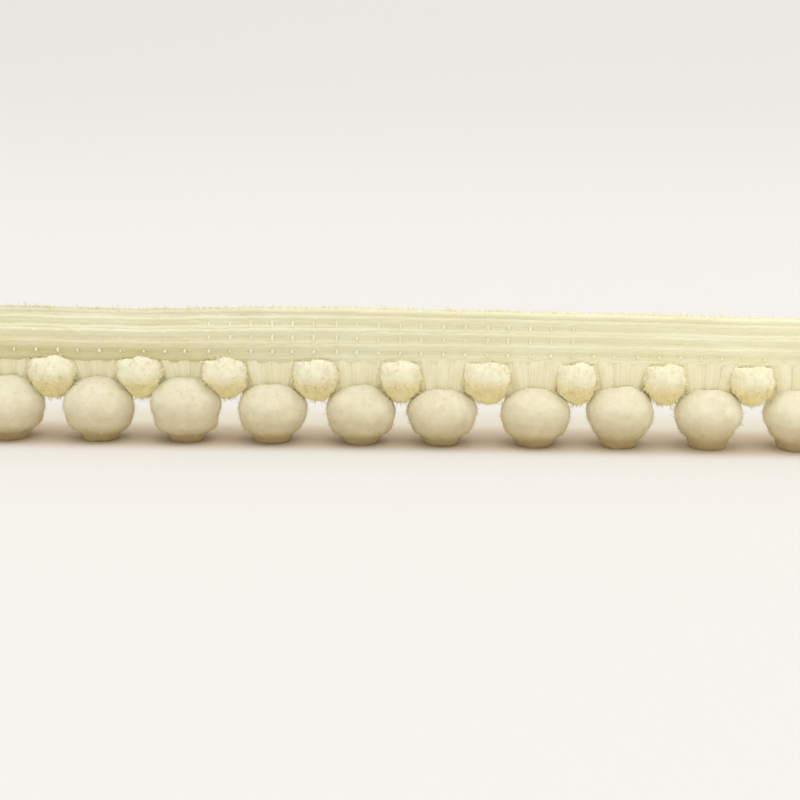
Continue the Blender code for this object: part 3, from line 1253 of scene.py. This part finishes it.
@dataclass
class Pompom:
    """One felted ball on the short neck of fine yarn that it hangs from.

    The neck's three groups lie in front of a wider backing. Their spread, width and strays are shares of the
    neck's half width, and group_bow and bow_stray are in millimetres.
    """

    index: int
    row: PompomRow
    depth: float = 4.8 * MM
    foot_snap: float = 0.06 * MM
    foot_half: Triple = (1.42 * MM, 1.38 * MM, 0.78 * MM)
    foot_height: float = 0.42 * MM
    belly_height: float = 1.4 * MM
    belly_rise: float = 1.08 * MM
    belly_depth: float = 0.96
    dent_half: float = 0.3 * MM
    dent_reach: float = 0.5 * MM
    felt_grain: float = 0.11 * MM
    felt_smoothing: int = 28
    coat_room: float = 0.06 * MM
    crown_lift: float = 0.14 * MM
    neck_foot: float = 0.55 * MM
    neck_head: float = 0.25 * MM
    neck_back: float = 0.45 * MM
    neck_top_back: float = -0.15 * MM
    neck_top_half: float = 1.95 * MM
    neck_waist_half: float = 1.4 * MM
    neck_groups: int = 3
    group_spread: float = 0.7
    group_width: float = 0.56
    group_bow: float = 0.2
    group_bow_turn: float = 2.2
    plies_in_group: int = 6
    ply_stray: float = 0.03
    bow_stray: float = 0.03
    ply_steps: int = 6
    ply_radius: float = 0.2 * MM
    backing_plies: int = 18
    backing_stray: float = 0.04
    backing_half: float = 2.25 * MM
    backing_foot_half: float = 2.05 * MM
    backing_back: float = 0.4 * MM
    backing_top_back: float = 0.05 * MM
    root: float = 0.35 * MM
    neck_seed: int = 100

    def __post_init__(self) -> None:
        """Works out the ball's centre and half sizes."""
        self.node = f"pompom_{self.index + 1:02d}"
        even = (self.index - (POMPOM_COUNT - 1) / 2) * PITCH
        self.crown = self.row.height * MM + self.crown_lift
        rise = self.row.rise * MM
        self.half = Vector((self.row.width * MM / 2, self.depth / 2, (self.crown - rise) / 2))
        self.centre = Vector((even + self.row.shift * MM, 0.0, (self.crown + rise) / 2))

    def ball(self, coat: FibreCoat) -> Piece:
        """Models the ball: a lumpy, furred body, full below and dented under its neck, on a low flat foot.

        Args:
            coat: The fibres that grow on it.

        Returns:
            The ball.
        """
        middle = self.centre.x
        foot = round_form("foot", Vector((middle, 0.0, self.foot_height)), self.foot_half)
        wide = self.row.belly * MM
        belly_half = (wide, self.belly_depth * wide, self.belly_rise)
        belly = round_form("belly", Vector((middle, 0.0, self.belly_height)), belly_half)
        room = Vector((self.coat_room, self.coat_room, 0.0))
        body = round_form(f"ball_{self.index + 1:02d}", self.centre, self.half - room)
        reshape(
            body,
            lambda at: at.z > self.centre.z
            and max(abs(at.x - middle), abs(at.y - self.neck_back)) < self.dent_half,
            lift=-self.row.notch * MM,
            reach=self.dent_reach,
        )
        pick_only(body)
        foot.select_set(True)
        belly.select_set(True)
        bpy.ops.object.join()
        apply_modifier(body, "REMESH", mode="VOXEL", voxel_size=self.felt_grain)
        apply_modifier(body, "SMOOTH", factor=0.5, iterations=self.felt_smoothing)
        roughen(body, FELT_LUMPS)
        reshape(body, lambda at: at.z < self.foot_snap, size=(1.0, 1.0, 0.0), about=(middle, 0.0, 0.0))
        coat.grow(body, seed=self.index + 1)
        return body

    def ply(self, foot: Vector, head: Vector) -> Strand:
        """Runs one ply of the neck up from the ball's crown to the tape, easing outwards.

        Args:
            foot: Where it starts, inside the crown.
            head: Where it ends, inside the tape.

        Returns:
            The ply.
        """
        points = []
        for step in range(self.ply_steps + 1):
            share = step / self.ply_steps
            aside = foot.lerp(head, eased(share))
            points.append(Vector((aside.x, aside.y, foot.z + (head.z - foot.z) * share)))
        return Strand(points, [self.ply_radius] * len(points))

    def ball_top(self, aside: float) -> float:
        """Gives the height of the ball's surface over its middle plane, at a distance to the side."""
        share = max(0.0, 1 - (aside / self.half.x) ** 2 - (self.backing_back / self.half.y) ** 2)
        return self.centre.z + self.half.z * math.sqrt(share)

    def front_ply(self, group: int, ply: int, dice: random.Random) -> Strand:
        """Runs one ply of the neck's front, which bows forward in the middle of its group.

        Args:
            group: The ply's group, counted from the left.
            ply: Its number in the group.
            dice: The source of its unevenness.

        Returns:
            The ply.
        """
        middle = self.centre.x
        start = self.crown - self.row.notch * MM - self.neck_foot
        end = TAPE_FOOT + self.neck_head
        within = (ply / (self.plies_in_group - 1) - 0.5) * self.group_width
        across = (2 * group / (self.neck_groups - 1) - 1) * self.group_spread + within
        across += dice.uniform(-self.ply_stray, self.ply_stray)
        bow = dice.uniform(-self.bow_stray, self.bow_stray)
        bow -= self.group_bow * math.cos(self.group_bow_turn * within / self.group_width)
        foot = (middle + across * self.neck_waist_half, bow * MM + self.neck_back, start)
        head = (middle + across * self.neck_top_half, bow * MM + self.neck_top_back, end)
        return self.ply(Vector(foot), Vector(head))

    def back_ply(self, ply: int, dice: random.Random) -> Strand:
        """Runs one ply of the wide backing behind the groups.

        Args:
            ply: Its number, counted from the left.
            dice: The source of its unevenness.

        Returns:
            The ply.
        """
        middle = self.centre.x
        across = 2 * ply / (self.backing_plies - 1) - 1
        across += dice.uniform(-self.backing_stray, self.backing_stray)
        aside = across * self.backing_foot_half
        foot = (middle + aside, self.backing_back, self.ball_top(aside) - self.root)
        head = (middle + across * self.backing_half, self.backing_top_back, TAPE_FOOT + self.neck_head)
        return self.ply(Vector(foot), Vector(head))

    def neck(self) -> Piece:
        """Makes the neck: three flat groups of fine plies in front, and a wider backing of the same yarn.

        Returns:
            The neck.
        """
        dice = random.Random(self.neck_seed + self.index)
        plies = [
            self.front_ply(group, ply, dice)
            for group in range(self.neck_groups)
            for ply in range(self.plies_in_group)
        ]
        plies += [self.back_ply(ply, dice) for ply in range(self.backing_plies)]
        return yarn_bundle(f"neck_{self.index + 1:02d}", plies)

    def build(self, coat: FibreCoat, felt: Material, yarn: Material) -> None:
        """Makes the pompom, dresses it and puts it in its solid's place.

        Args:
            coat: The fibres that grow on the ball.
            felt: The ball's finish.
            yarn: The neck's finish.
        """
        ball = dress(self.ball(coat), felt)
        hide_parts(self.node)
        dress(self.neck(), yarn)


@dataclass
class Tuft:
    """One small half pompom of cut pile, pressed between its neighbours under the tape.

    It is wrapped round its solid, its cap is drawn out and flattened, and its skirt is drawn in and dropped.
    """

    index: int
    wrap_start: float = 1.02
    wrap_room: float = 0.05 * MM
    wrap_smoothing: int = 3
    cap_foot: float = 0.3
    cap_growth: Triple = (1.10, 1.0, 1.3)
    cap_reach: float = 0.8 * MM
    cap_spreads: tuple[Span, ...] = ((5.5 * MM, 1.1), (5.85 * MM, 1.14))
    cap_spread_reach: float = 0.3 * MM
    cap_top: float = 6.15 * MM
    cap_flatness: float = 0.5
    skirt_height: float = 3.9 * MM
    skirt_growth: Triple = (1.09, 0.8, 0.96)
    skirt_reach: float = 0.6 * MM
    flat_under: float = 0.14 * MM
    under_flatness: float = 0.3
    first_seed: int = 60

    def __post_init__(self) -> None:
        """Reads the tuft's place from its solid."""
        self.node = f"tuft_{self.index + 1:02d}"
        self.low, self.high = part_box(self.node)

    def build(self, coat: FibreCoat, pile: Material) -> None:
        """Makes the tuft on its solid's form, dresses it and puts it in its solid's place.

        Args:
            coat: The pile that grows on it.
            pile: Its finish.
        """
        centre = (self.low + self.high) / 2
        half = (self.high - self.low) / 2
        about = (centre.x, 0.0, centre.z)
        drop = TUFT_DROPS[self.index] * MM
        under = self.low.z + self.flat_under - drop
        body = round_form(f"pile_{self.index + 1:02d}", centre, half * self.wrap_start)
        apply_modifier(
            body,
            "SHRINKWRAP",
            target=frame["nodes"][self.node],
            wrap_method="NEAREST_SURFACEPOINT",
            wrap_mode="ABOVE_SURFACE",
            offset=self.wrap_room,
        )
        apply_modifier(body, "SMOOTH", factor=0.5, iterations=self.wrap_smoothing)
        cap_foot = centre.z + self.cap_foot * half.z
        reshape(body, lambda at: at.z > cap_foot, self.cap_growth, about, reach=self.cap_reach)
        for height, spread in self.cap_spreads:
            growth = (spread, 1.0, 1.0)
            reshape(body, lambda at: at.z > height, growth, about, reach=self.cap_spread_reach)
        top_about = (centre.x, 0.0, self.cap_top)
        reshape(body, lambda at: at.z > self.cap_top, (1.0, 1.0, self.cap_flatness), top_about)
        reshape(body, lambda at: at.z < self.skirt_height, self.skirt_growth, about, -drop, self.skirt_reach)
        reshape(body, lambda at: at.z < under, (1.0, 1.0, self.under_flatness), (centre.x, 0.0, under))
        roughen(body, PILE_LUMPS)
        coat.grow(body, seed=self.first_seed + self.index)
        dress(body, pile)
        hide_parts(self.node)


@dataclass
class Studio:
    """The pale table, the soft light from above and the low camera in front."""

    elevation: float = math.radians(14.0)
    distance: float = 0.110
    look_height: float = 3.1 * MM
    lens: float = 69.3
    sensor: float = 36.0
    clips: Span = (5 * MM, 20.0)
    roll: float = math.radians(0.84)
    table_width: float = 6.0
    table_front: float = -3.0
    cove_start: float = 0.25
    cove_radius: float = 1.2
    cove_steps: int = 14
    cove_step_angle: float = math.radians(5.0)
    lamp_place: Triple = (0.2, -0.18, 1.1)
    lamp_size: float = 1.0
    lamp_watts: float = 4.9
    sky_colour: Colour = (1.0, 1.0, 1.0, 1.0)
    sky_strengths: Span = (0.80, 0.96)

    def cove(self, step: int) -> Vector:
        """Gives the place of a step of the backdrop's curve, from where it leaves the table."""
        angle = step * self.cove_step_angle
        return self.cove_radius * Vector((0.0, math.sin(angle), 1 - math.cos(angle)))

    def table(self) -> None:
        """Lays the table and curves its far edge up as a backdrop."""
        bpy.ops.mesh.primitive_plane_add(size=1.0)
        table = named_active("table")
        depth = self.cove_start - self.table_front
        table.scale = (self.table_width, depth, 1.0)
        table.location = (0.0, self.table_front + depth / 2, 0.0)
        settle(table)
        select_points(table, lambda at: at.y > 0)
        for step in range(self.cove_steps):
            move = self.cove(step + 1) - self.cove(step)
            bpy.ops.mesh.extrude_region_move(TRANSFORM_OT_translate={"value": move})
        leave_edit()
        bpy.ops.object.shade_smooth()
        table.data.materials.append(TABLE.material())

    def light(self) -> None:
        """Hangs one soft square light that looks at the trim, in a pale sky that is brightest overhead."""
        bpy.ops.object.light_add(type="AREA", location=self.lamp_place)
        lamp = named_active("overhead")
        lamp.data.shape = "SQUARE"
        lamp.data.size = self.lamp_size
        lamp.data.energy = self.lamp_watts
        lamp.rotation_euler = Vector(self.lamp_place).to_track_quat("Z", "Y").to_euler()
        world = bpy.data.worlds.new("pale_sky")
        world.use_nodes = True
        sky = Graph(world.node_tree)
        way = sky.add("ShaderNodeSeparateXYZ", sky.add("ShaderNodeTexCoord").outputs["Generated"])
        climb = sky.add("ShaderNodeMapRange", way.outputs["Z"], 0.0, 1.0, *self.sky_strengths)
        sky.feed(sky.tree.nodes["Background"], self.sky_colour, climb.outputs["Result"])
        bpy.context.scene.world = world

    def camera(self) -> None:
        """Stands the camera low in front of the trim, rolled a little as a hand-held one is."""
        reach = Vector((0.0, -math.cos(self.elevation), math.sin(self.elevation)))
        target = Vector((0.0, 0.0, self.look_height))
        bpy.ops.object.camera_add(location=target + reach * self.distance)
        camera = named_active("camera")
        camera.rotation_euler = (math.pi / 2 - self.elevation, 0.0, 0.0)
        camera.rotation_euler.rotate_axis("Z", self.roll)
        camera.data.lens = self.lens
        camera.data.sensor_width = self.sensor
        camera.data.clip_start, camera.data.clip_end = self.clips
        bpy.context.scene.camera = camera
        bpy.context.scene.view_settings.view_transform = "Standard"

    def build(self) -> None:
        """Sets up the studio."""
        self.table()
        self.light()
        self.camera()


def main() -> None:
    """Builds the studio and every piece of the trim in order, and reports each."""
    logging.basicConfig(level=logging.INFO, format="%(message)s")
    Studio().build()
    log.info("studio set up")
    HeadingTape().build()
    log.info("heading tape built")
    felt_coat = FibreCoat(
        name="felt_fibres", length=0.27 * MM, radius=0.008 * MM, density=20e6, tilts=(0.5, 1.45), seed=3
    )
    felt = FELT.material()
    neck_yarn = NECK_YARN.material()
    for index, row in enumerate(POMPOM_ROWS):
        Pompom(index=index, row=row).build(felt_coat, felt, neck_yarn)
        log.info("pompom %d built", index + 1)
    felt_coat.tidy()
    pile_coat = FibreCoat(
        name="pile_fibres", length=0.30 * MM, radius=0.020 * MM, density=22e6, tilts=(0.0, 1.0), seed=5
    )
    pile = TUFT_PILE.material()
    for index in range(POMPOM_COUNT - 1):
        Tuft(index=index).build(pile_coat, pile)
        log.info("tuft %d built", index + 1)
    pile_coat.tidy()


if __name__ == "__main__":
    main()
